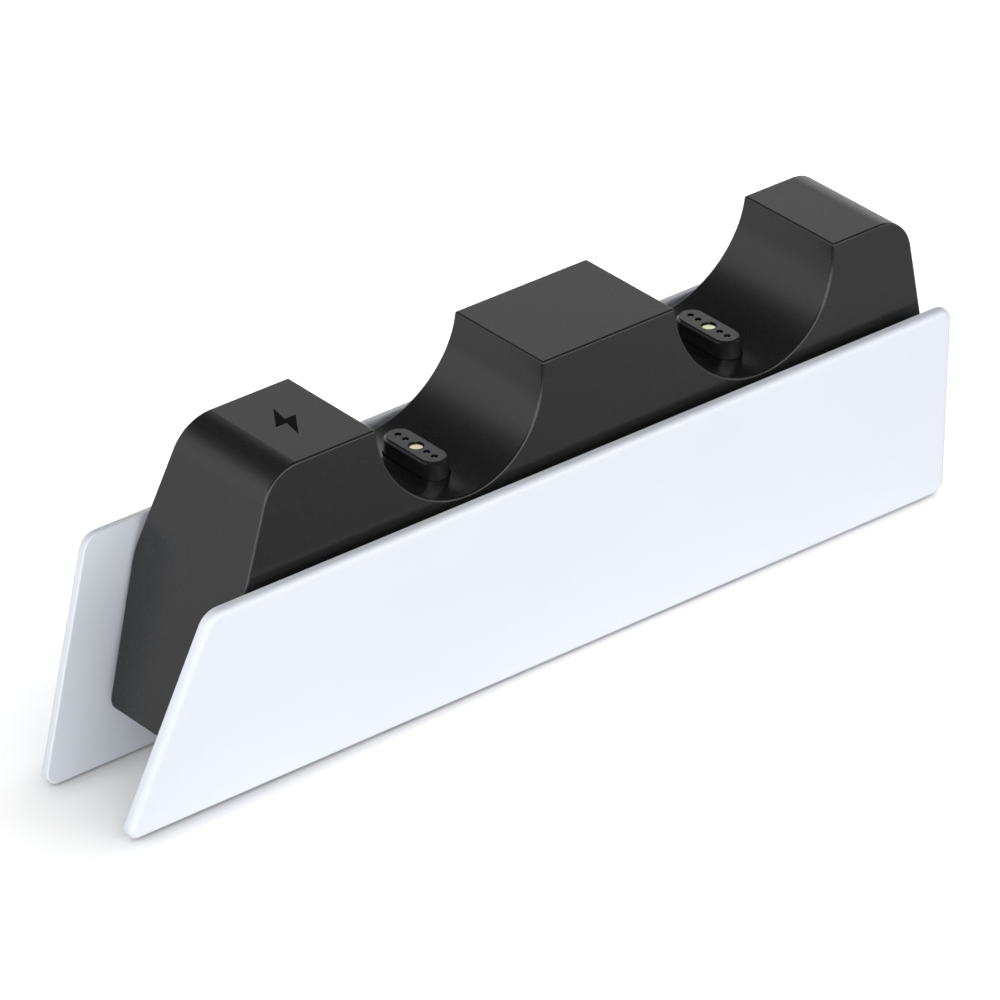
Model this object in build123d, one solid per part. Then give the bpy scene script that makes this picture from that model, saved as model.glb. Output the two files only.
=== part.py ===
from build123d import *
import os
from math import atan, cos, degrees, radians, sqrt, tan

os.makedirs("parts", exist_ok=True)

# Controller charging dock: a long black housing with two cradles, held between two white side panels.
# +X runs along the dock, +Y across it, +Z up. The table is z = 0. All sizes are in millimetres.

# Housing: heights above the table and half widths across
body_top_z = 71.3
cheek_z = 43.3
body_bottom_z = 14.4
top_half_width = 14.0
cheek_half_width = 17.3
bottom_half_width = 11.3

# Housing: place of each end at the level of the top, and how far each end leans out per mm down
left_end_x = -71.95
left_end_lean = 0.3975
right_end_x = 97.15
right_end_lean = 0.0955
left_end_round = 9.5
right_end_round = 8.0
keel_round = 2.0
cheek_round = 14.0
edge_round = 0.5
wall = 2.2

# Cradles: two half round troughs across the housing
cradle_mid_x = 15.55
cradle_pitch = 78.6
cradle_radius = 21.6

# Contact block standing in each cradle
block_length = 17.0
block_width = 6.5
block_top_drop = 17.4
block_draft = 2.5
block_rim_inset = 0.5
block_rim_drop = 0.25
block_rim_chamfer = 0.35
block_slot_gap = 0.12
flange_length = 21.5
flange_width = 9.4
flange_thick = 2.3
flange_gap = 0.1

# Sprung contact pins
pin_inner_y = 3.4
pin_outer_y = 5.8
pin_hole_d = 1.5
pin_tip_d = 1.0
pin_recess = 0.35
pin_travel = 0.8
pin_collar_d = 1.24
pin_collar_h = 1.2
barrel_d = 1.7
barrel_bore_d = 1.3
barrel_lip_bore_d = 1.1
barrel_lip_h = 0.3
barrel_drop = 1.1
barrel_floor_h = 0.6
barrel_fit = 0.05
tail_d = 0.7
tail_length = 2.2
tail_fit = 0.05
running_gap = 0.03
spring_wall = 0.3

# Fixed centre contact
centre_hole_d = 3.3
centre_head_d = 3.0
centre_head_h = 0.8
centre_recess = 0.4
centre_shank_d = 2.0
centre_fit = 0.05

# Contact boards under the cradles
contact_board_length = 25.0
contact_board_width = 20.0
board_thick = 1.6
post_offset_x = 9.5
post_d = 4.6
small_screw_d = 1.9
small_screw_head_d = 3.6
small_screw_head_h = 1.3
small_screw_length = 5.4
screw_fit = 0.05

# Base plate with its hollow plinth
plate_thick = 2.0
plate_gap = 0.15
plinth_left_x = -48.0
plinth_right_x = 58.0
plinth_half_width = 8.6
plinth_draft = 4.0
plinth_corner = 4.0
plinth_bottom_z = 1.2
plinth_wall = 2.0
plinth_floor = 2.2
pad_d = 8.4
pad_height = 2.0

# Housing screws from below
column_d = 6.4
left_screw_reach = 14.0
second_screw_x = -58.0
right_screw_inset = 11.0
housing_screw_d = 2.9
housing_screw_head_d = 5.4
housing_screw_head_h = 1.8
housing_screw_length = 12.0
head_hole_gap = 0.3

# Rubber feet
foot_length = 22.0
foot_width = 5.0
foot_thick = 2.0
foot_fit = 0.1
foot_xs = (-34.0, 44.0)
foot_y = 4.4

# Side panels: how far their outer faces stand out past the housing, and their ends along X
panel_top_z = 49.65
panel_bottom_z = 0.3
panel_top_reach = 4.15
panel_bottom_reach = 3.35
panel_thick = 2.6
panel_left_top_x = -93.25
panel_left_bottom_x = -110.55
panel_right_top_x = 104.2
panel_right_bottom_x = 109.85
panel_top_left_round = 4.5
panel_top_right_round = 3.4
panel_bottom_left_round = 2.6
panel_bottom_right_round = 3.0
panel_outer_round = 1.3
panel_inner_round = 0.4

# Panel hooks and the ribs that space each panel off the housing
left_hook_reach = 1.0
right_hook_inset = 5.0
middle_hook_xs = (-36.0, 7.0, 51.0)
hook_z = 31.0
hook_width = 9.0
hook_thick = 2.0
hook_barb = 0.9
hook_barb_length = 1.6
hook_slot_gap = 0.2
rib_thick = 2.0
rib_top_z = 41.0
rib_bottom_z = 17.0

# Main board, its sockets and the supply inlet
main_board_left_x = 22.0
main_board_right_x = 98.5
main_board_half_width = 7.6
main_board_z = 19.0
main_screw_spots = ((26.0, -4.2), (69.0, 4.6), (77.0, -4.6))
standoff_d = 4.6
column_board_gap = 0.4
inlet_width = 8.94
inlet_height = 3.2
inlet_depth = 8.4
inlet_wall = 0.3
inlet_setback = 0.3
inlet_hole_gap = 0.2
tongue_width = 6.7
tongue_thick = 0.7
tongue_length = 5.0
tongue_root_width = 5.4
back_wall = 1.0

# Flat leads between the boards
lead_width = 3.6
lead_thick = 0.6
lead_y = 6.0
lead_bend = 3.0
socket_length = 4.0
socket_width = 5.0
socket_height = 2.4
socket_grip = 1.4
main_socket_left_x = 28.6
main_socket_right_x = 41.1
contact_socket_offset = 6.5
lead_left_level = 0.35
lead_right_level = 0.6

# Parts soldered on the main board
chip_size = 6.0
chip_height = 1.1
chip_x = 50.0
small_chip_size = 5.0
small_chip_x = 59.0
chip_y = 2.5
coil_size = 6.2
coil_height = 3.0
coil_round = 1.2
left_coil_x = 34.6
left_coil_y = 2.8
right_coil_x = 68.0
right_coil_y = 3.6
capacitor_width = 1.6
capacitor_length = 3.0
capacitor_height = 1.6
capacitor_count = 3
capacitor_pitch = 3.5
capacitor_x = 55.0
capacitor_y = 4.2

# Sizes that follow from the ones above
left_cradle_x = cradle_mid_x - cradle_pitch / 2
right_cradle_x = cradle_mid_x + cradle_pitch / 2
block_top_z = body_top_z - block_top_drop
first_screw_x = left_end_x - left_screw_reach
last_screw_x = right_end_x - right_screw_inset
housing_screw_xs = (first_screw_x, second_screw_x, cradle_mid_x, last_screw_x)
hook_xs = (left_end_x - left_hook_reach, *middle_hook_xs, right_end_x - right_hook_inset)
cradle_inner_z = body_top_z - cradle_radius - wall
flange_top_z = cradle_inner_z - flange_gap
flange_bottom_z = flange_top_z - flange_thick
contact_board_top_z = flange_bottom_z
contact_board_bottom_z = contact_board_top_z - board_thick
barrel_top_z = block_top_z - barrel_drop
lip_under_z = barrel_top_z - barrel_lip_h
collar_top_z = lip_under_z - running_gap
collar_bottom_z = collar_top_z - pin_collar_h
bore_floor_z = contact_board_top_z + barrel_floor_h
plate_top_z = body_bottom_z + plate_thick
pad_top_z = plate_top_z + pad_height
lower_side_lean = (cheek_half_width - bottom_half_width) / (cheek_z - body_bottom_z)
upper_side_lean = (cheek_half_width - top_half_width) / (body_top_z - cheek_z)
panel_top_y = cheek_half_width + panel_top_reach
panel_bottom_y = bottom_half_width + panel_bottom_reach
panel_lean = (panel_top_y - panel_bottom_y) / (panel_top_z - panel_bottom_z)
pin_ys = (pin_outer_y, pin_inner_y, -pin_inner_y, -pin_outer_y)
far = 400.0


def z_cylinder(x, y, z_low, z_high, diameter):
    """Upright cylinder between two heights."""
    return Pos(x, y, (z_low + z_high) / 2) * Cylinder(diameter / 2, z_high - z_low)


def block(x_low, x_high, y_low, y_high, z_low, z_high):
    """Box between three pairs of limits."""
    centre = Pos((x_low + x_high) / 2, (y_low + y_high) / 2, (z_low + z_high) / 2)
    return centre * Box(x_high - x_low, y_high - y_low, z_high - z_low)


def left_outer_x(z):
    return left_end_x - left_end_lean * (body_top_z - z)


def right_outer_x(z):
    return right_end_x + right_end_lean * (body_top_z - z)


def outer_half_width(z):
    if z >= cheek_z:
        return top_half_width + upper_side_lean * (body_top_z - z)
    return cheek_half_width - lower_side_lean * (cheek_z - z)


def side_outline(inset, z_low):
    """Long side view of the housing, each face moved in by the inset, down to z_low."""
    z_high = body_top_z - inset
    left = inset / cos(atan(left_end_lean))
    right = inset / cos(atan(right_end_lean))
    points = [
        (left_outer_x(z_low) + left, z_low),
        (left_outer_x(z_high) + left, z_high),
        (right_outer_x(z_high) - right, z_high),
        (right_outer_x(z_low) - right, z_low),
    ]
    return Plane.XZ * make_face(Polyline(*points, close=True))


def cross_outline(inset, z_low):
    """End view of the housing, each face moved in by the inset, down to z_low."""
    z_high = body_top_z - inset
    upper = inset / cos(atan(upper_side_lean))
    lower = inset / cos(atan(lower_side_lean))
    right = [
        (outer_half_width(z_low) - lower, z_low),
        (cheek_half_width - (upper + lower) / 2, cheek_z),
        (outer_half_width(z_high) - upper, z_high),
    ]
    left = [(-y, z) for y, z in reversed(right)]
    return Plane.YZ * make_face(Polyline(*right, *left, close=True))


def housing_space(inset, z_low):
    """Solid space bounded by the housing's faces, each moved in by the inset."""
    long_way = extrude(side_outline(inset, z_low), far, both=True)
    across = extrude(cross_outline(inset, z_low), far, both=True)
    return long_way & across


def edges_near(shape, axis, test):
    return [e for e in shape.edges().filter_by(axis) if test(e.center())]


def housing_block():
    """Outer form of the housing with its end rounds, before the cradles are cut."""
    solid = housing_space(0, body_bottom_z)
    middle = (left_end_x + right_end_x) / 2
    solid = fillet(edges_near(solid, Axis.Y, lambda c: c.Z > cheek_z and c.X < middle), left_end_round)
    solid = fillet(edges_near(solid, Axis.Y, lambda c: c.Z > cheek_z and c.X > middle), right_end_round)
    keel = edges_near(solid, Axis.X, lambda c: abs(c.Z - body_bottom_z) < 0.01)
    solid = fillet(keel, keel_round)
    cheeks = edges_near(solid, Axis.X, lambda c: abs(c.Z - cheek_z) < 0.01)
    return fillet(cheeks, cheek_round)


def cradle_cut(x, radius):
    """Cylinder across the housing, centred on the level of its top."""
    turned = Rotation(90, 0, 0) * Cylinder(radius, 4 * cheek_half_width)
    return Pos(x, 0, body_top_z) * turned


def stadium(length, width):
    """Oblong outline with round ends, its long way along Y."""
    return SlotOverall(length, width, rotation=90)


def block_slot_size():
    """Length and width of the drafted contact block at the under side of the cradle wall."""
    grow = 2 * (block_top_z - flange_top_z) * tan(radians(block_draft))
    return block_length + grow, block_width + grow


def hook_slots():
    """Slots in both side walls for the panel hooks."""
    cuts = []
    height = hook_thick + 2 * hook_slot_gap
    width = hook_width + 2 * hook_slot_gap
    y = outer_half_width(hook_z)
    for x in hook_xs:
        for side in (-1, 1):
            cuts.append(Pos(x, side * y, hook_z) * Box(width, 4 * wall, height))
    return cuts


def make_top_shell():
    """Black moulded housing, open underneath, with both cradles."""
    solid = housing_block()
    for x in (left_cradle_x, right_cradle_x):
        solid -= cradle_cut(x, cradle_radius)
    rim_edges = [e for e in solid.edges() if e.center().Z > cheek_z + 1 or e.bounding_box().max.Z > cheek_z + 1]
    solid = fillet(rim_edges, edge_round)
    hollow = housing_space(wall, body_bottom_z - 1)
    for x in (left_cradle_x, right_cradle_x):
        hollow -= cradle_cut(x, cradle_radius + wall)
    solid -= hollow
    inner = housing_space(wall / 2, body_bottom_z)
    for x in (left_cradle_x, right_cradle_x):
        inner -= cradle_cut(x, cradle_radius + wall / 2)
    for x in housing_screw_xs:
        solid += z_cylinder(x, 0, pad_top_z, body_top_z, column_d) & inner
    for cx in (left_cradle_x, right_cradle_x):
        for side in (-1, 1):
            x = cx + side * post_offset_x
            solid += z_cylinder(x, 0, contact_board_top_z, body_top_z, post_d) & inner
    pilot = housing_screw_d + 2 * screw_fit
    for x in housing_screw_xs:
        solid -= z_cylinder(x, 0, body_bottom_z, pad_top_z + housing_screw_length, pilot)
    small_pilot = small_screw_d + 2 * screw_fit
    slot_length, slot_width = block_slot_size()
    for cx in (left_cradle_x, right_cradle_x):
        for side in (-1, 1):
            x = cx + side * post_offset_x
            top = contact_board_bottom_z + small_screw_length + 0.4
            solid -= z_cylinder(x, 0, contact_board_top_z - 0.1, top, small_pilot)
        hole = stadium(slot_length + 2 * block_slot_gap, slot_width + 2 * block_slot_gap)
        solid -= Pos(cx, 0, flange_top_z - 1) * extrude(hole, wall + 4)
    for cut in hook_slots():
        solid -= cut
    solid -= inlet_hole()
    return solid


def inlet_centre_z():
    return main_board_z + board_thick + inlet_height / 2


def inlet_front_x():
    return right_outer_x(inlet_centre_z()) - inlet_setback


def inlet_section(grow):
    """Rounded outline of the supply inlet, facing along X."""
    width = inlet_width + 2 * grow
    height = inlet_height + 2 * grow
    return Plane.YZ * RectangleRounded(width, height, height / 2 - 0.02)


def inlet_hole():
    cut = extrude(inlet_section(inlet_hole_gap), 3 * wall, both=True)
    return Pos(right_outer_x(inlet_centre_z()), 0, inlet_centre_z()) * cut


def make_inlet_shell():
    """Metal shell of the supply inlet, open at its mouth."""
    outer = extrude(inlet_section(0), inlet_depth)
    inner = extrude(inlet_section(-inlet_wall), inlet_depth - back_wall)
    back = inlet_front_x() - inlet_depth
    solid = Pos(back, 0, inlet_centre_z()) * outer
    return solid - Pos(back + back_wall, 0, inlet_centre_z()) * inner


def make_inlet_tongue():
    """Plastic tongue standing in the inlet."""
    back = inlet_front_x() - inlet_depth + back_wall
    z = inlet_centre_z()
    tongue = block(back, back + tongue_length + 1, -tongue_width / 2, tongue_width / 2,
                   z - tongue_thick / 2, z + tongue_thick / 2)
    root = block(back, back + 1, -tongue_root_width / 2, tongue_root_width / 2,
                 z - inlet_height / 2 + inlet_wall + 0.05, z + inlet_height / 2 - inlet_wall - 0.05)
    return tongue + root


def make_base_plate():
    """Plate that closes the housing from below, with the hollow plinth that carries the feet."""
    grip = housing_space(wall + plate_gap, body_bottom_z)
    plate = grip & block(-far, far, -far, far, body_bottom_z, plate_top_z)
    mid = (plinth_left_x + plinth_right_x) / 2
    length = plinth_right_x - plinth_left_x
    height = plate_top_z - plinth_bottom_z
    top_face = RectangleRounded(length, 2 * plinth_half_width, plinth_corner)
    shrink = 2 * plinth_draft_run(height)
    foot_face = RectangleRounded(length - shrink, 2 * plinth_half_width - shrink, plinth_corner)
    lower = loft([Pos(mid, 0, plinth_bottom_z) * foot_face, Pos(mid, 0, body_bottom_z) * top_face])
    solid = plate + lower
    inner_top = RectangleRounded(length - 2 * plinth_wall, 2 * (bottom_half_width - wall - plate_gap) - 2,
                                 plinth_corner - plinth_wall)
    inner_low = RectangleRounded(length - 2 * plinth_wall - shrink,
                                 2 * (plinth_half_width - plinth_wall) - shrink, plinth_corner - plinth_wall)
    floor_z = plinth_bottom_z + plinth_floor
    solid -= loft([Pos(mid, 0, floor_z) * inner_low, Pos(mid, 0, plate_top_z) * inner_top])
    for x in housing_screw_xs:
        low = plinth_bottom_z if plinth_left_x < x < plinth_right_x else body_bottom_z
        solid += z_cylinder(x, 0, low, pad_top_z, pad_d)
    for x, y in main_screw_spots:
        low = floor_z if plinth_left_x < x < plinth_right_x else body_bottom_z
        solid += z_cylinder(x, y, low, main_board_z, standoff_d)
    for x in housing_screw_xs:
        solid -= z_cylinder(x, 0, 0, pad_top_z + 1, housing_screw_d + 2 * screw_fit)
        solid -= z_cylinder(x, 0, 0, plate_top_z, housing_screw_head_d + 2 * head_hole_gap)
    for x, y in main_screw_spots:
        low = main_board_z + board_thick - small_screw_length - 0.4
        solid -= z_cylinder(x, y, low, main_board_z + 1, small_screw_d + 2 * screw_fit)
    for x in foot_xs:
        for side in (-1, 1):
            pocket = Rotation(0, 0, 90) * stadium(foot_length + 2 * foot_fit, foot_width + 2 * foot_fit)
            solid -= Pos(x, side * foot_y, 0) * extrude(pocket, foot_thick)
    return solid


def plinth_draft_run(height):
    return height * tan(radians(plinth_draft))


def make_feet():
    """Four rubber feet, each let into the under side of the plinth."""
    feet = []
    for x in foot_xs:
        for side in (-1, 1):
            pad = extrude(Rotation(0, 0, 90) * stadium(foot_length, foot_width), foot_thick)
            pad = chamfer(pad.faces().sort_by(Axis.Z)[0].edges(), 0.3)
            feet.append(Pos(x, side * foot_y, 0) * pad)
    return feet


def panel_plane(side):
    """Plane of a panel's outer face, its local x along the dock and its local y up the slope."""
    up = Vector(0, side * (panel_top_y - panel_bottom_y), panel_top_z - panel_bottom_z).normalized()
    along = Vector(1, 0, 0)
    return Plane(origin=(0, side * panel_bottom_y, panel_bottom_z), x_dir=along, z_dir=along.cross(up))


def make_panel(side):
    """White side panel: a long plate with rounded corners and edges, ribs and snap hooks behind."""
    rise = sqrt((panel_top_y - panel_bottom_y) ** 2 + (panel_top_z - panel_bottom_z) ** 2)
    outline = Polyline((panel_left_bottom_x, 0), (panel_right_bottom_x, 0),
                       (panel_right_top_x, rise), (panel_left_top_x, rise), close=True)
    face = make_face(outline)
    corners = face.vertices()
    radii = {
        (panel_left_bottom_x, 0): panel_bottom_left_round,
        (panel_right_bottom_x, 0): panel_bottom_right_round,
        (panel_right_top_x, rise): panel_top_right_round,
        (panel_left_top_x, rise): panel_top_left_round,
    }
    for (x, y), radius in radii.items():
        spot = face.vertices().sort_by_distance((x, y, 0))[0]
        face = fillet([spot], radius)
    plane = panel_plane(side)
    inward = 1 if plane.z_dir.Y * side < 0 else -1
    plate = extrude(plane * face, panel_thick, dir=plane.z_dir * inward)
    depth_axis = Axis(plane.origin, plane.z_dir * inward)
    outer_face = plate.faces().sort_by(depth_axis)[0]
    plate = fillet(outer_face.edges(), panel_outer_round)
    inner_face = plate.faces().sort_by(depth_axis)[-1]
    plate = fillet(inner_face.edges(), panel_inner_round)
    room = housing_space(0, body_bottom_z)
    for x in hook_xs:
        low_y, high_y = 1.0, panel_top_y
        rib = block(x - rib_thick / 2, x + rib_thick / 2, low_y, high_y, rib_bottom_z, rib_top_z)
        if side < 0:
            rib = mirror(rib, Plane.XZ)
        plate += trim_to_panel(rib, side) - room
    for x in hook_xs:
        plate += make_hook(x, side)
    return plate


def trim_to_panel(shape, side):
    """Keeps what lies inside the middle of the panel's thickness."""
    plane = panel_plane(side)
    inward = 1 if plane.z_dir.Y * side < 0 else -1
    depth = panel_thick / 2
    middle = plane.offset(inward * depth)
    sheet = extrude(middle * Rectangle(2 * far, 2 * far), far, dir=plane.z_dir * inward)
    return shape & sheet


def make_hook(x, side):
    """Snap hook that passes through the housing's side wall and catches behind it."""
    wall_y = wall / cos(atan(lower_side_lean))
    barb_low_z = hook_z - hook_thick / 2 - hook_slot_gap - hook_barb
    catch_y = outer_half_width(barb_low_z) - wall_y - hook_slot_gap
    arm = block(x - hook_width / 2, x + hook_width / 2, catch_y - hook_barb_length, panel_top_y,
                hook_z - hook_thick / 2, hook_z + hook_thick / 2)
    barb = Plane.YZ * make_face(Polyline(
        (catch_y - hook_barb_length, hook_z - hook_thick / 2),
        (catch_y, barb_low_z),
        (catch_y, hook_z), (catch_y - hook_barb_length, hook_z), close=True))
    barb = Pos(x - hook_width / 2, 0, 0) * extrude(barb, hook_width)
    hook = arm + barb
    if side < 0:
        hook = mirror(hook, Plane.XZ)
    return trim_to_panel(hook, side)


def make_contact_block(cx):
    """Drafted oblong block that stands through the cradle floor, with holes for its contacts."""
    height = block_top_z - block_rim_drop - flange_top_z
    grow = 2 * height * tan(radians(block_draft))
    low = Pos(cx, 0, flange_top_z) * stadium(block_length + grow, block_width + grow)
    high = Pos(cx, 0, flange_top_z + height) * stadium(block_length, block_width)
    solid = loft([low, high])
    solid = chamfer(solid.faces().sort_by(Axis.Z)[-1].edges(), block_rim_chamfer)
    table = stadium(block_length - 2 * block_rim_inset, block_width - 2 * block_rim_inset)
    solid += Pos(cx, 0, flange_top_z + height - 0.5) * extrude(table, block_rim_drop + 0.5)
    flange = RectangleRounded(flange_width, flange_length, 2)
    solid += Pos(cx, 0, flange_bottom_z) * extrude(flange, flange_thick)
    for y in pin_ys:
        solid -= z_cylinder(cx, y, barrel_top_z, block_top_z + 1, pin_hole_d)
        solid -= z_cylinder(cx, y, flange_bottom_z - 1, barrel_top_z + barrel_fit, barrel_d + 2 * barrel_fit)
    ledge = block_top_z - centre_recess - centre_head_h
    solid -= z_cylinder(cx, 0, ledge, block_top_z + 1, centre_hole_d)
    solid -= z_cylinder(cx, 0, flange_bottom_z - 1, ledge + 0.01, centre_shank_d + 2 * centre_fit)
    return solid


def make_centre_contact(cx):
    """Gold plated stud in the middle of the block, soldered into the board below."""
    head_top = block_top_z - centre_recess
    head = z_cylinder(cx, 0, head_top - centre_head_h, head_top, centre_head_d)
    head = chamfer(head.faces().sort_by(Axis.Z)[-1].edges(), 0.15)
    shank = z_cylinder(cx, 0, contact_board_top_z, head_top - centre_head_h, centre_shank_d)
    tail = z_cylinder(cx, 0, contact_board_top_z - tail_length, contact_board_top_z, tail_d)
    return head + shank + tail


def make_barrel(cx, y):
    """Barrel of a sprung pin: closed foot, bore, and a lip that keeps the plunger in."""
    solid = z_cylinder(cx, y, contact_board_top_z, barrel_top_z, barrel_d)
    solid += z_cylinder(cx, y, contact_board_top_z - tail_length, contact_board_top_z, tail_d)
    solid -= z_cylinder(cx, y, bore_floor_z, lip_under_z, barrel_bore_d)
    solid -= z_cylinder(cx, y, lip_under_z - 0.01, barrel_top_z + 1, barrel_lip_bore_d)
    return solid


def make_pin(cx, y):
    """Plunger with a domed tip and the collar that stops under the barrel's lip."""
    tip_top = block_top_z - pin_recess
    tip = z_cylinder(cx, y, collar_top_z, tip_top, pin_tip_d)
    tip = fillet(tip.faces().sort_by(Axis.Z)[-1].edges(), pin_tip_d * 0.35)
    collar = z_cylinder(cx, y, collar_bottom_z, collar_top_z, pin_collar_d)
    return tip + collar


def make_spring(cx, y):
    """Coil spring under the plunger, as a plain sleeve of its outer and inner diameters."""
    low, high = bore_floor_z + running_gap, collar_bottom_z - running_gap
    outer = pin_collar_d
    return z_cylinder(cx, y, low, high, outer) - z_cylinder(cx, y, low - 1, high + 1, outer - 2 * spring_wall)


def small_screw(x, y, seat_z, up):
    """Small pan head screw: its head against seat_z, its shank up or down from it."""
    sign = 1 if up else -1
    head = z_cylinder(x, y, min(seat_z, seat_z - sign * small_screw_head_h),
                      max(seat_z, seat_z - sign * small_screw_head_h), small_screw_head_d)
    face = head.faces().sort_by(Axis.Z)[0 if up else -1]
    head = chamfer(face.edges(), 0.4)
    shank = z_cylinder(x, y, min(seat_z, seat_z + sign * small_screw_length),
                       max(seat_z, seat_z + sign * small_screw_length), small_screw_d)
    return head + shank


def make_contact_board(cx):
    """Small board that carries the barrels and holds the block up in its slot."""
    plate = RectangleRounded(contact_board_length, contact_board_width, 1.5)
    solid = Pos(cx, 0, contact_board_bottom_z) * extrude(plate, board_thick)
    for y in (*pin_ys, 0):
        solid -= z_cylinder(cx, y, contact_board_bottom_z - 1, contact_board_top_z + 1, tail_d + 2 * tail_fit)
    for side in (-1, 1):
        x = cx + side * post_offset_x
        solid -= z_cylinder(x, 0, contact_board_bottom_z - 1, contact_board_top_z + 1,
                            small_screw_d + 2 * screw_fit)
    return solid


def make_main_board():
    """Main board along the right half of the base."""
    length = main_board_right_x - main_board_left_x
    plate = RectangleRounded(length, 2 * main_board_half_width, 1.5)
    mid = (main_board_left_x + main_board_right_x) / 2
    solid = Pos(mid, 0, main_board_z) * extrude(plate, board_thick)
    for x in housing_screw_xs:
        if main_board_left_x < x < main_board_right_x:
            solid -= z_cylinder(x, 0, main_board_z - 1, main_board_z + board_thick + 1,
                                column_d + 2 * column_board_gap)
    for x, y in main_screw_spots:
        solid -= z_cylinder(x, y, main_board_z - 1, main_board_z + board_thick + 1,
                            small_screw_d + 2 * screw_fit)
    return solid


def make_components():
    """Parts soldered on the main board: two chips, two coils and a row of capacitors."""
    top = main_board_z + board_thick
    pieces = []
    for x, size in ((chip_x, chip_size), (small_chip_x, small_chip_size)):
        pieces.append(Pos(x, -chip_y, top + chip_height / 2) * Box(size, size, chip_height))
    for x, y in ((left_coil_x, left_coil_y), (right_coil_x, right_coil_y)):
        coil = Pos(x, -y, top + coil_height / 2) * Box(coil_size, coil_size, coil_height)
        pieces.append(fillet(coil.edges().filter_by(Axis.Z), coil_round))
    for number in range(capacitor_count):
        x = capacitor_x + number * capacitor_pitch
        body = Box(capacitor_width, capacitor_length, capacitor_height)
        pieces.append(Pos(x, capacitor_y, top + capacitor_height / 2) * body)
    return pieces


def lead_socket(x, z_face, up):
    """Socket on a board that a flat lead enters from the free side."""
    sign = 1 if up else -1
    low, high = sorted((z_face, z_face + sign * socket_height))
    solid = block(x - socket_length / 2, x + socket_length / 2, lead_y - socket_width / 2,
                  lead_y + socket_width / 2, low, high)
    grip_low, grip_high = sorted((z_face + sign * (socket_height - socket_grip),
                                  z_face + sign * (socket_height + 1)))
    gap = 0.05
    return solid - block(x - lead_thick / 2 - gap, x + lead_thick / 2 + gap,
                         lead_y - lead_width / 2 - gap, lead_y + lead_width / 2 + gap,
                         grip_low, grip_high)


def make_lead(main_x, contact_x, level):
    """Flat lead from a socket on the main board up to a socket under a contact board."""
    low = main_board_z + board_thick + socket_height - socket_grip + 0.05
    high = contact_board_bottom_z - socket_height + socket_grip - 0.05
    level_z = low + level * (high - low)
    path = FilletPolyline((main_x, low), (main_x, level_z), (contact_x, level_z), (contact_x, high),
                          radius=lead_bend)
    strip = trace(path.edges(), lead_thick)
    return Pos(0, lead_y, 0) * extrude(Plane.XZ * strip, lead_width / 2, both=True)


def make_housing_screws():
    """Four screws that hold the base plate to the housing's columns."""
    screws = []
    for x in housing_screw_xs:
        head = z_cylinder(x, 0, plate_top_z - housing_screw_head_h, plate_top_z, housing_screw_head_d)
        head = chamfer(head.faces().sort_by(Axis.Z)[0].edges(), 0.5)
        length = housing_screw_length - 1.0
        screws.append(head + z_cylinder(x, 0, plate_top_z, plate_top_z + length, housing_screw_d))
    return screws


def save(name, shape):
    solids = []
    for item in (shape if isinstance(shape, list) else [shape]):
        solids.extend(item.solids())
    part = solids[0] if len(solids) == 1 else Compound(children=solids)
    export_step(part, f"parts/{name}.step")


def main():
    save("top_shell", make_top_shell())
    save("base_plate", make_base_plate())
    save("housing_screws", make_housing_screws())
    save("rubber_feet", make_feet())
    save("front_panel", make_panel(-1))
    save("rear_panel", make_panel(1))
    save("inlet_shell", make_inlet_shell())
    save("inlet_tongue", make_inlet_tongue())
    save("main_board", make_main_board())
    save("main_board_parts", make_components())
    save("main_board_screws", [small_screw(x, y, main_board_z + board_thick, False)
                               for x, y in main_screw_spots])
    for name, cx, main_x, toward, level in (
            ("left", left_cradle_x, main_socket_left_x, 1, lead_left_level),
            ("right", right_cradle_x, main_socket_right_x, -1, lead_right_level)):
        contact_x = cx + toward * contact_socket_offset
        save(f"contact_block_{name}", make_contact_block(cx))
        save(f"centre_contact_{name}", make_centre_contact(cx))
        save(f"pin_barrels_{name}", [make_barrel(cx, y) for y in pin_ys])
        for number, y in enumerate(pin_ys, 1):
            save(f"contact_pin_{name}_{number}", make_pin(cx, y))
            save(f"pin_spring_{name}_{number}", make_spring(cx, y))
        save(f"contact_board_{name}", make_contact_board(cx))
        save(f"contact_board_screws_{name}",
             [small_screw(cx + side * post_offset_x, 0, contact_board_bottom_z, True) for side in (-1, 1)])
        save(f"lead_sockets_{name}", [lead_socket(main_x, main_board_z + board_thick, True),
                                      lead_socket(contact_x, contact_board_bottom_z, False)])
        save(f"flat_lead_{name}", make_lead(main_x, contact_x, level))


main()
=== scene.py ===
"""Looks of a charging dock with cradles for two controllers."""
import math

import bmesh
import bpy
from mathutils import Matrix, Vector


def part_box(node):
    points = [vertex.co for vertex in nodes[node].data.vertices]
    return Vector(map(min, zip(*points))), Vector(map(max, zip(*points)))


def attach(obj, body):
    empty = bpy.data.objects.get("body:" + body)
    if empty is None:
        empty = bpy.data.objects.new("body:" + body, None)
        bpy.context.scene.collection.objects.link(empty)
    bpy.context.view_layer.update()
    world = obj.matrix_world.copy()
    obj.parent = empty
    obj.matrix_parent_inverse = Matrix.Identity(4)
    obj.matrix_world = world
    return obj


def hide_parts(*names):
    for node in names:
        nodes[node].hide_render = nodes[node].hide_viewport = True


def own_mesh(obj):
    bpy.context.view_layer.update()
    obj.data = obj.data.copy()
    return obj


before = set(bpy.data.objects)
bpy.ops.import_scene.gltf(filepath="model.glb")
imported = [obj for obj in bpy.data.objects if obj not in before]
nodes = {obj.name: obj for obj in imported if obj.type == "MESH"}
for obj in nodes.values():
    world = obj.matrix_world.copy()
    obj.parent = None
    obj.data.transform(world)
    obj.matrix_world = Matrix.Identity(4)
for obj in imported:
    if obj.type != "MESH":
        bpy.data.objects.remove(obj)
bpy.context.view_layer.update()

# Camera: lens and sensor in mm, heading from +Y towards +X, angle looked down, near and far limits
CAMERA_LENS = 289.0
CAMERA_SENSOR = 36.0
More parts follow.
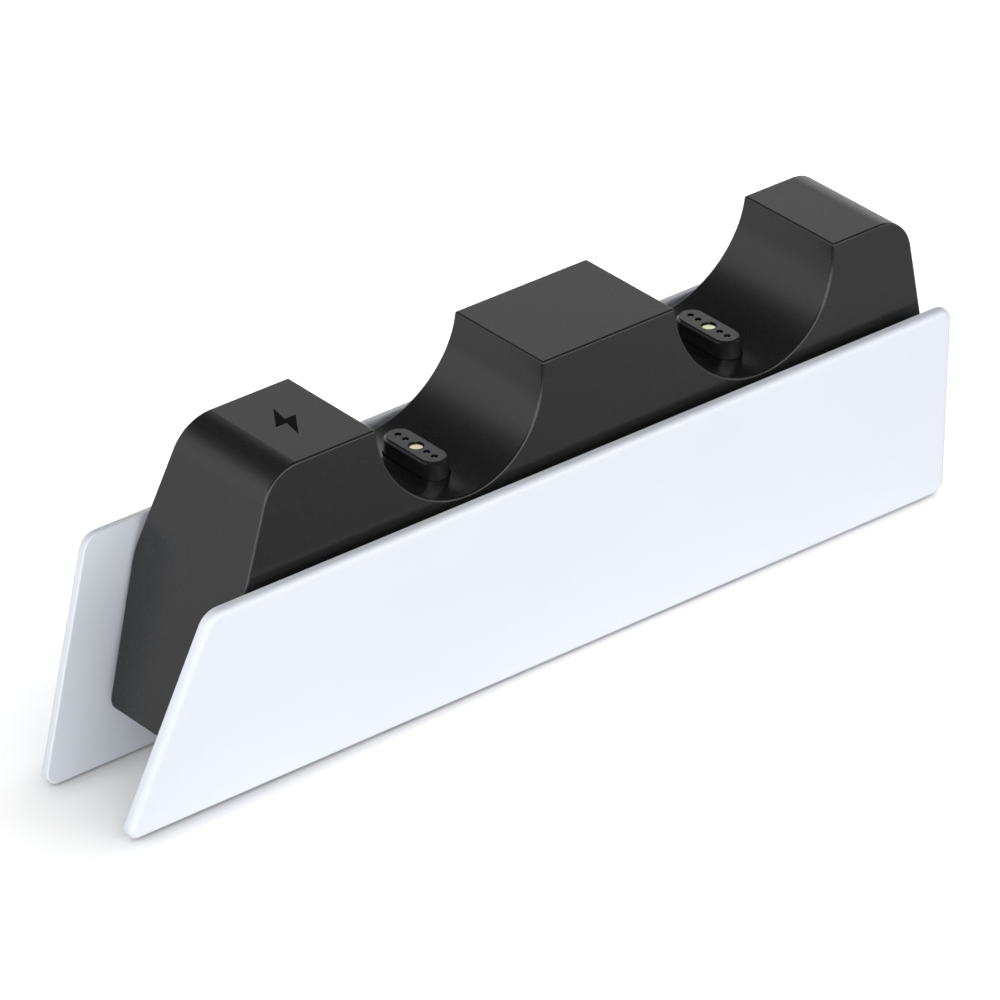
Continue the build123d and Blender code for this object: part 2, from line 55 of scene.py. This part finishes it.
CAMERA_HEADING = math.radians(39.788)
CAMERA_DOWN = math.radians(30.056)
CAMERA_TARGET = Vector((0.01555, 0.0, 0.0713))
CAMERA_DISTANCE = 1.6382
TARGET_OFFSET = (0.01322, 0.03877)
CAMERA_CLIP = (0.05, 30.0)

# Colours, linear
HOUSING_BLACK = (0.012, 0.012, 0.0125)
BASE_BLACK = (0.016, 0.016, 0.017)
BLOCK_BLACK = (0.014, 0.014, 0.0145)
PANEL_WHITE = (0.80, 0.835, 0.90)
RUBBER_BLACK = (0.012, 0.012, 0.012)
GOLD = (0.78, 0.69, 0.36)
STUD_GOLD = (0.98, 0.93, 0.64)
STEEL = (0.56, 0.56, 0.58)
PIN_METAL = (0.52, 0.51, 0.48)
MASK_GREEN = (0.008, 0.055, 0.022)
CHIP_BLACK = (0.018, 0.018, 0.02)
NYLON = (0.66, 0.62, 0.52)
LEAD_WHITE = (0.62, 0.61, 0.58)

# Textures: scales in waves per metre, depths in m, and the part of a noise that is used
NOISE_SPAN = (0.3, 0.7)

# Plastic and rubber: slow drift in colour, patches of gloss, and fine grain
PLASTIC_IOR = 1.5
DRIFT_SCALE = 30.0
PATCH_SCALE = 900.0
GRAIN_SCALE = 5200.0
GRAIN_DEPTH = 0.00003
RUBBER_GRAIN_SCALE = 2600.0

# Plating: rubbing marks, and how far they change its colour and roughness
MARK_SCALE = 1400.0
MARK_DEPTH = 0.00002
MARK_STRENGTH = 0.08
MARK_COLOURS = (0.92, 1.04)
MARK_ROUGHNESS = (0.8, 1.25)

# Circuit boards: lanes of tracks, the gap between lanes, and the shades of mask over them
TRACK_SCALE = 260.0
TRACK_GAP = 0.03
TRACK_DEPTH = 0.00003
TRACK_STRENGTH = 0.15
TRACK_SHADE = 1.15
GAP_SHADE = 1.8

# Flat leads: ridges over the conductors, and the shade between them
CONDUCTOR_SCALE = 480.0
CONDUCTOR_DEPTH = 0.00008
CONDUCTOR_STRENGTH = 0.3
CONDUCTOR_SHADE = 0.86

# Floor: its half size and the white it lights the dock with
FLOOR_HALF = 6.0
FLOOR_WHITE = 0.92

# Floor in direct view: its white, and the glow it gains from near to far around a point at the left end; the
# floor left darker near that point is a painted shade
FLOOR_SEEN = 1.45
FLOOR_NEAR_GLOW = 0.0
FLOOR_FAR_GLOW = 0.62
FLOOR_GLOW_REACH = (0.01, 0.10)
FLOOR_SHADE_X = -0.09

# Floor shade where the panels meet it: how far it reaches, its white, and rays for each point
FLOOR_CONTACT_REACH = 0.0075
FLOOR_CONTACT = 0.25
FLOOR_CONTACT_SAMPLES = 4

# Floor in reflections: its white, and the glow in front along X and behind along Y; the glow shows only in
# reflections, a painted reflection on the dock's glossy parts
FLOOR_MIRRORED = 0.30
FLOOR_LEFT_GLOW = 0.0
FLOOR_RIGHT_GLOW = 0.46
FLOOR_GLOW_SPAN_X = (-0.05, 0.20)
FLOOR_BACK_GLOW = 0.62
FLOOR_GLOW_SPAN_Y = (-0.05, 0.15)

# Surroundings: light at the back, front and top, where it changes, and where its low band ends
BACK_LEVEL = 1.04
FRONT_LEVEL = 0.95
LEVEL_SPAN_Y = (-0.3, 0.5)
TOP_LEVEL = 0.05
BAND_TOP = 0.455
BAND_FADE = 0.60

# Area lamps: name, place, width and height, power in W; all point at LAMP_TARGET
LAMPS = (
    ("front", (0.20, -1.58, 0.36), (2.2, 0.7), 10.5),
    ("left", (-1.15, -0.70, 0.60), (1.8, 0.9), 10.5),
    ("key", (-0.75, 0.55, 1.15), (0.9, 0.9), 1.0),
)
LAMP_TARGET = (0.0, 0.0, 0.03)

# Contacts: sides of the dock, and pins on each side
SIDES = ("left", "right")
PIN_COUNT = 4

# Coil springs under the pins: wire, turns that lie closed at each end, open turns, and mesh steps
SPRING_WIRE = 0.00022
SPRING_END_TURNS = 1
SPRING_OPEN_TURNS = 9
SPRING_TURN_STEPS = 20
SPRING_WIRE_SIDES = 8

# Charge sign printed on the left part's top: centre, half height, thickness, and outline in half heights
SIGN_CENTRE = (-0.0568, 0.0004)
SIGN_Z = 0.0713
SIGN_HALF = 0.0056
SIGN_THICK = 0.00004
SIGN_BLACK = (0.003, 0.003, 0.0032)
SIGN_OUTLINE = ((0.22, 1.0), (-0.55, -0.12), (-0.06, -0.12), (-0.22, -1.0), (0.55, 0.14), (0.06, 0.14))


class Shading:
    """Short ways to add shader nodes to a tree and join them."""

    def __init__(self, tree):
        self.tree = tree

    def add(self, kind, **settings):
        node = self.tree.nodes.new(kind)
        for key, value in settings.items():
            setattr(node, key, value)
        return node

    def link(self, source, target):
        self.tree.links.new(source, target)

    def ramp(self, source, span, low, high, **settings):
        """A level that goes from low to high while the source crosses its span."""
        node = self.add("ShaderNodeMapRange", **settings)
        node.inputs["From Min"].default_value = span[0]
        node.inputs["From Max"].default_value = span[1]
        node.inputs["To Min"].default_value = low
        node.inputs["To Max"].default_value = high
        self.link(source, node.inputs["Value"])
        return node.outputs["Result"]

    def diffuse(self, level):
        node = self.add("ShaderNodeBsdfDiffuse")
        node.inputs["Color"].default_value = (level, level, level, 1.0)
        return node.outputs[0]

    def glow(self, level):
        node = self.add("ShaderNodeEmission")
        node.inputs["Color"].default_value = (1.0, 1.0, 1.0, 1.0)
        self.link(level, node.inputs["Strength"])
        return node.outputs[0]

    def sum(self, first, second):
        node = self.add("ShaderNodeAddShader")
        self.link(first, node.inputs[0])
        self.link(second, node.inputs[1])
        return node.outputs[0]

    def mix(self, factor, first, second):
        node = self.add("ShaderNodeMixShader")
        self.link(factor, node.inputs["Fac"])
        self.link(first, node.inputs[1])
        self.link(second, node.inputs[2])
        return node.outputs[0]


class Surface(Shading):
    """A procedural material that is built up node by node."""

    def __init__(self, name):
        self.material = bpy.data.materials.new(name)
        self.material.use_nodes = True
        super().__init__(self.material.node_tree)
        self.bsdf = self.tree.nodes["Principled BSDF"]
        self.place = self.add("ShaderNodeTexCoord").outputs["Object"]

    def set(self, **values):
        for key, value in values.items():
            socket = self.bsdf.inputs[key.replace("_", " ")]
            socket.default_value = value

    def noise(self, scale, detail=2.0, rough=0.5, stretch=None):
        node = self.add("ShaderNodeTexNoise")
        node.inputs["Scale"].default_value = scale
        node.inputs["Detail"].default_value = detail
        node.inputs["Roughness"].default_value = rough
        if stretch:
            mapping = self.add("ShaderNodeMapping")
            mapping.inputs["Scale"].default_value = stretch
            self.link(self.place, mapping.inputs["Vector"])
            self.link(mapping.outputs["Vector"], node.inputs["Vector"])
        else:
            self.link(self.place, node.inputs["Vector"])
        return node.outputs["Fac"]

    def colour_ramp(self, source, stops):
        node = self.add("ShaderNodeValToRGB")
        band = node.color_ramp
        while len(band.elements) < len(stops):
            band.elements.new(0.5)
        for element, (where, colour) in zip(band.elements, stops):
            element.position = where
            element.color = (*colour, 1.0)
        self.link(source, node.inputs["Fac"])
        return node.outputs["Color"]

    def bump(self, source, strength, distance):
        node = self.add("ShaderNodeBump")
        node.inputs["Strength"].default_value = strength
        node.inputs["Distance"].default_value = distance
        self.link(source, node.inputs["Height"])
        self.link(node.outputs["Normal"], self.bsdf.inputs["Normal"])

    def colour(self, source, stops):
        self.link(self.colour_ramp(source, stops), self.bsdf.inputs["Base Color"])

    def roughness(self, source, low, high):
        self.link(self.ramp(source, NOISE_SPAN, low, high), self.bsdf.inputs["Roughness"])


def scaled(colour, factor):
    """A colour made paler or darker, kept within white."""
    return tuple(min(1.0, channel * factor) for channel in colour)


def moulded(name, colour, rough, grain_scale=GRAIN_SCALE, grain=0.25, gloss=0.5, spread=0.08, drift=0.06):
    """Moulded plastic: a fine spark-eroded grain with slight drift in colour and gloss."""
    surface = Surface(name)
    surface.set(Specular_IOR_Level=gloss, IOR=PLASTIC_IOR)
    clouds = surface.noise(DRIFT_SCALE, detail=2.0)
    dark, pale = scaled(colour, 1 - drift), scaled(colour, 1 + drift)
    surface.colour(clouds, [(NOISE_SPAN[0], dark), (NOISE_SPAN[1], pale)])
    patches = surface.noise(PATCH_SCALE, detail=4.0, rough=0.6)
    surface.roughness(patches, rough - spread / 2, rough + spread / 2)
    surface.bump(surface.noise(grain_scale, detail=2.0), grain, GRAIN_DEPTH)
    return surface.material


def plated(name, colour, rough, scratch=(1.0, 1.0, 1.0)):
    """Plated metal with faint rubbing marks."""
    surface = Surface(name)
    surface.set(Metallic=1.0)
    marks = surface.noise(MARK_SCALE, detail=4.0, rough=0.6, stretch=scratch)
    dark, pale = (scaled(colour, shade) for shade in MARK_COLOURS)
    surface.colour(marks, [(NOISE_SPAN[0], dark), (NOISE_SPAN[1], pale)])
    surface.roughness(marks, rough * MARK_ROUGHNESS[0], rough * MARK_ROUGHNESS[1])
    surface.bump(marks, MARK_STRENGTH, MARK_DEPTH)
    return surface.material


def circuit_board(name):
    """Solder mask over copper tracks that run in lanes."""
    surface = Surface(name)
    surface.set(Specular_IOR_Level=0.5, Roughness=0.32)
    lanes = surface.add("ShaderNodeTexBrick")
    lanes.inputs["Scale"].default_value = TRACK_SCALE
    lanes.inputs["Mortar Size"].default_value = TRACK_GAP
    lanes.inputs["Color1"].default_value = (*MASK_GREEN, 1.0)
    lanes.inputs["Color2"].default_value = (*scaled(MASK_GREEN, TRACK_SHADE), 1.0)
    lanes.inputs["Mortar"].default_value = (*scaled(MASK_GREEN, GAP_SHADE), 1.0)
    surface.link(surface.place, lanes.inputs["Vector"])
    surface.link(lanes.outputs["Color"], surface.bsdf.inputs["Base Color"])
    surface.bump(lanes.outputs["Fac"], TRACK_STRENGTH, TRACK_DEPTH)
    return surface.material


def ribbed_lead(name):
    """Flat laminated lead with its conductors showing as ridges along it."""
    surface = Surface(name)
    surface.set(Specular_IOR_Level=0.5, Roughness=0.42)
    waves = surface.add("ShaderNodeTexWave", bands_direction="Y")
    waves.inputs["Scale"].default_value = CONDUCTOR_SCALE
    surface.link(surface.place, waves.inputs["Vector"])
    surface.colour(waves.outputs["Fac"], [(0.0, scaled(LEAD_WHITE, CONDUCTOR_SHADE)), (1.0, LEAD_WHITE)])
    surface.bump(waves.outputs["Fac"], CONDUCTOR_STRENGTH, CONDUCTOR_DEPTH)
    return surface.material


def paint(material, *names):
    """Put one material on every slot of the named solids."""
    for name in names:
        for slot in nodes[name].material_slots:
            slot.material = material


def both_sides(stem):
    """Names of a piece that stands once in each cradle."""
    return [f"{stem}_{side}" for side in SIDES]


def each_pin(stem):
    """Names of a piece that belongs to every sprung pin."""
    return [f"{stem}_{side}_{number + 1}" for side in SIDES for number in range(PIN_COUNT)]


def paint_frame():
    """Give every solid of the frame its material."""
    housing = moulded("housing_plastic", HOUSING_BLACK, rough=0.26, grain=0.03, spread=0.04)
    base = moulded("base_plastic", BASE_BLACK, rough=0.55, grain=0.4)
    block = moulded("block_plastic", BLOCK_BLACK, rough=0.15, grain=0.02, spread=0.04)
    panel = moulded("panel_plastic", PANEL_WHITE, rough=0.36, grain=0.05, spread=0.05, drift=0.012)
    foot = moulded("foot_rubber", RUBBER_BLACK, rough=0.75, grain=0.6,
                   grain_scale=RUBBER_GRAIN_SCALE, gloss=0.35)
    tongue = moulded("tongue_plastic", CHIP_BLACK, rough=0.5)
    component = moulded("component_bodies", CHIP_BLACK, rough=0.42)
    socket = moulded("socket_nylon", NYLON, rough=0.45)
    mask = circuit_board("solder_mask")
    laminate = ribbed_lead("lead_laminate")
    screw_steel = plated("screw_steel", STEEL, rough=0.30)
    inlet_steel = plated("inlet_steel", STEEL, rough=0.26, scratch=(1.0, 6.0, 6.0))
    brass = plated("barrel_brass", GOLD, rough=0.30)
    stud_gold = plated("stud_gold", STUD_GOLD, rough=0.20)
    pin_plating = plated("pin_plating", PIN_METAL, rough=0.28)
    wire = plated("spring_wire", STEEL, rough=0.30)

    paint(housing, "top_shell")
    paint(base, "base_plate")
    paint(block, *both_sides("contact_block"))
    paint(panel, "front_panel", "rear_panel")
    paint(foot, "rubber_feet")
    paint(tongue, "inlet_tongue")
    paint(component, "main_board_parts")
    paint(socket, *both_sides("lead_sockets"))
    paint(mask, "main_board", *both_sides("contact_board"))
    paint(laminate, *both_sides("flat_lead"))
    paint(screw_steel, "housing_screws", "main_board_screws", *both_sides("contact_board_screws"))
    paint(inlet_steel, "inlet_shell")
    paint(brass, *both_sides("pin_barrels"))
    paint(stud_gold, *both_sides("centre_contact"))
    paint(pin_plating, *each_pin("contact_pin"))
    paint(wire, *each_pin("pin_spring"))


def add_mesh(name, bm, material, body="dock", smooth=False):
    """Turn a built mesh into a piece that moves with its body."""
    mesh = bpy.data.meshes.new(name)
    bm.to_mesh(mesh)
    bm.free()
    mesh.materials.append(material)
    for polygon in mesh.polygons:
        polygon.use_smooth = smooth
    piece = bpy.data.objects.new(name, mesh)
    bpy.context.scene.collection.objects.link(piece)
    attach(piece, body)
    return piece


def coil_mesh(centre, radius, low, high):
    """Wire wound upwards from low to high, its end turns closed."""
    closed_turns = 2 * SPRING_END_TURNS
    turns = SPRING_OPEN_TURNS + closed_turns
    half = SPRING_WIRE / 2
    pitch = (high - low - (closed_turns + 1) * SPRING_WIRE) / SPRING_OPEN_TURNS
    bm = bmesh.new()
    rings = []
    for step in range(turns * SPRING_TURN_STEPS + 1):
        turn = step / SPRING_TURN_STEPS
        closed = min(turn, SPRING_END_TURNS) + max(turn - turns + SPRING_END_TURNS, 0)
        z = low + half + closed * SPRING_WIRE + (turn - closed) * pitch
        angle = 2 * math.pi * turn
        ring = []
        for side in range(SPRING_WIRE_SIDES):
            around = 2 * math.pi * side / SPRING_WIRE_SIDES
            reach = radius + half * math.cos(around)
            x = centre[0] + reach * math.cos(angle)
            y = centre[1] + reach * math.sin(angle)
            ring.append(bm.verts.new((x, y, z + half * math.sin(around))))
        rings.append(ring)
    for lower, upper in zip(rings, rings[1:]):
        for side in range(SPRING_WIRE_SIDES):
            after = (side + 1) % SPRING_WIRE_SIDES
            bm.faces.new((lower[side], lower[after], upper[after], upper[side]))
    bm.faces.new(rings[0])
    bm.faces.new(rings[-1])
    bmesh.ops.recalc_face_normals(bm, faces=bm.faces)
    return bm


def make_springs():
    """A wound spring for each plain sleeve under a pin, in place of the hidden sleeve."""
    names = zip(each_pin("pin_spring"), each_pin("spring_coil"), each_pin("pin_press"))
    for sleeve, coil_name, joint in names:
        low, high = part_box(sleeve)
        centre = ((low[0] + high[0]) / 2, (low[1] + high[1]) / 2)
        radius = (high[0] - low[0]) / 2 - SPRING_WIRE / 2
        bm = coil_mesh(centre, radius, low[2], high[2])
        wire = nodes[sleeve].material_slots[0].material
        coil = add_mesh(coil_name, bm, wire, smooth=True)
        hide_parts(sleeve)
        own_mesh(coil)


def make_sign():
    """Lightning bolt printed flat on the housing."""
    bm = bmesh.new()
    corners = []
    for along, across in SIGN_OUTLINE:
        x = SIGN_CENTRE[0] + SIGN_HALF * along
        y = SIGN_CENTRE[1] + SIGN_HALF * across
        corners.append(bm.verts.new((x, y, SIGN_Z)))
    face = bm.faces.new(corners)
    raised = bmesh.ops.extrude_face_region(bm, geom=[face])["geom"]
    raised_corners = [part for part in raised if isinstance(part, bmesh.types.BMVert)]
    bmesh.ops.translate(bm, verts=raised_corners, vec=(0.0, 0.0, SIGN_THICK))
    bmesh.ops.recalc_face_normals(bm, faces=bm.faces)
    ink = moulded("sign_ink", SIGN_BLACK, rough=0.55, grain=0.05, gloss=0.03)
    add_mesh("charge_sign", bm, ink)


def seen_floor(shading, coords):
    """Floor in direct view: white far off, with a painted shade around the left end and a painted contact
    shade where the dock meets it.
    """
    distance = shading.add("ShaderNodeVectorMath", operation="DISTANCE")
    distance.inputs[1].default_value = (FLOOR_SHADE_X, 0.0, 0.0)
    shading.link(coords, distance.inputs[0])
    # Little glow near the left end: a painted shade on the floor there.
    glow_level = shading.ramp(distance.outputs["Value"], FLOOR_GLOW_REACH, FLOOR_NEAR_GLOW, FLOOR_FAR_GLOW)
    clear = shading.sum(shading.diffuse(FLOOR_SEEN), shading.glow(glow_level))
    # Ambient occlusion mixes the floor towards a darker diffuse white where the panels meet it: a painted
    # contact shade.
    contact = shading.add("ShaderNodeAmbientOcclusion", samples=FLOOR_CONTACT_SAMPLES)
    contact.inputs["Distance"].default_value = FLOOR_CONTACT_REACH
    return shading.mix(contact.outputs["AO"], shading.diffuse(FLOOR_CONTACT), clear)


def mirrored_floor(shading, coords):
    """Floor in reflections: brighter behind the dock and towards its right end, a painted reflection seen
    only in glossy surfaces.
    """
    split = shading.add("ShaderNodeSeparateXYZ")
    shading.link(coords, split.inputs[0])
    front_level = shading.ramp(split.outputs["X"], FLOOR_GLOW_SPAN_X, FLOOR_LEFT_GLOW, FLOOR_RIGHT_GLOW)
    behind = shading.ramp(split.outputs["Y"], FLOOR_GLOW_SPAN_Y, 0.0, 1.0)
    level = shading.add("ShaderNodeMix")
    shading.link(behind, level.inputs["Factor"])
    shading.link(front_level, level.inputs["A"])
    level.inputs["B"].default_value = FLOOR_BACK_GLOW
    return shading.sum(shading.diffuse(FLOOR_MIRRORED), shading.glow(level.outputs["Result"]))


def make_floor():
    """A pale floor that keeps the object's shadow and runs out to white."""
    bm = bmesh.new()
    bmesh.ops.create_grid(bm, x_segments=1, y_segments=1, size=FLOOR_HALF)
    mesh = bpy.data.meshes.new("floor")
    bm.to_mesh(mesh)
    bm.free()
    material = bpy.data.materials.new("floor_white")
    material.use_nodes = True
    tree = material.node_tree
    tree.nodes.remove(tree.nodes["Principled BSDF"])
    shading = Shading(tree)
    path = shading.add("ShaderNodeLightPath")
    coords = shading.add("ShaderNodeTexCoord").outputs["Object"]
    mirrored = mirrored_floor(shading, coords)
    # Glossy rays see the glowing floor, a painted reflection; other rays see plain white.
    unseen = shading.mix(path.outputs["Is Glossy Ray"], shading.diffuse(FLOOR_WHITE), mirrored)
    surface = shading.mix(path.outputs["Is Camera Ray"], unseen, seen_floor(shading, coords))
    shading.link(surface, tree.nodes["Material Output"].inputs["Surface"])
    mesh.materials.append(material)
    floor = bpy.data.objects.new("floor", mesh)
    bpy.context.scene.collection.objects.link(floor)


def make_world():
    """White in direct view; as light, a low band that is brightest at the back and dark above."""
    world = bpy.data.worlds.new("studio")
    bpy.context.scene.world = world
    world.use_nodes = True
    tree = world.node_tree
    shading = Shading(tree)

    def combine(operation, first, second):
        node = shading.add("ShaderNodeMath", operation=operation)
        for socket, value in zip(node.inputs, (first, second)):
            if isinstance(value, float):
                socket.default_value = value
            else:
                shading.link(value, socket)
        return node.outputs[0]

    smooth = {"interpolation_type": "SMOOTHSTEP"}
    direction = shading.add("ShaderNodeSeparateXYZ")
    shading.link(shading.add("ShaderNodeTexCoord").outputs["Generated"], direction.inputs[0])
    band = shading.ramp(direction.outputs["Z"], (BAND_TOP, BAND_FADE), 1.0, 0.0, **smooth)
    back = shading.ramp(direction.outputs["Y"], LEVEL_SPAN_Y, FRONT_LEVEL, BACK_LEVEL, **smooth)
    level = combine("ADD", combine("MULTIPLY", band, back), TOP_LEVEL)
    lit = tree.nodes["Background"]
    lit.inputs["Color"].default_value = (1.0, 1.0, 1.0, 1.0)
    shading.link(level, lit.inputs["Strength"])
    seen = shading.add("ShaderNodeBackground")
    seen.inputs["Color"].default_value = (1.0, 1.0, 1.0, 1.0)
    seen.inputs["Strength"].default_value = 1.0
    direct = shading.add("ShaderNodeLightPath").outputs["Is Camera Ray"]
    surface = shading.mix(direct, lit.outputs[0], seen.outputs[0])
    shading.link(surface, tree.nodes["World Output"].inputs["Surface"])


def make_lamp(name, place, size, power):
    """Area lamp that points at the dock."""
    data = bpy.data.lights.new(name, "AREA")
    data.shape = "RECTANGLE"
    data.size, data.size_y = size
    data.energy = power
    lamp = bpy.data.objects.new(name, data)
    lamp.location = place
    way = Vector(LAMP_TARGET) - Vector(place)
    lamp.rotation_euler = way.to_track_quat("-Z", "Y").to_euler()
    bpy.context.scene.collection.objects.link(lamp)


def make_camera():
    """Long lens from the front left, looking down on the dock."""
    heading, down = CAMERA_HEADING, CAMERA_DOWN
    ahead = Vector((math.sin(heading) * math.cos(down), math.cos(heading) * math.cos(down), -math.sin(down)))
    right = Vector((math.cos(heading), -math.sin(heading), 0.0))
    up = right.cross(ahead)
    data = bpy.data.cameras.new("camera")
    data.lens = CAMERA_LENS
    data.sensor_width = CAMERA_SENSOR
    data.clip_start, data.clip_end = CAMERA_CLIP
    camera = bpy.data.objects.new("camera", data)
    place = CAMERA_TARGET - ahead * CAMERA_DISTANCE - right * TARGET_OFFSET[0] - up * TARGET_OFFSET[1]
    turn = Matrix((right, up, -ahead)).transposed().to_4x4()
    camera.matrix_world = Matrix.Translation(place) @ turn
    bpy.context.scene.collection.objects.link(camera)
    bpy.context.scene.camera = camera


make_camera()
make_world()
for lamp_settings in LAMPS:
    make_lamp(*lamp_settings)
make_floor()
paint_frame()
make_sign()
make_springs()
bpy.context.scene.view_settings.view_transform = "Standard"
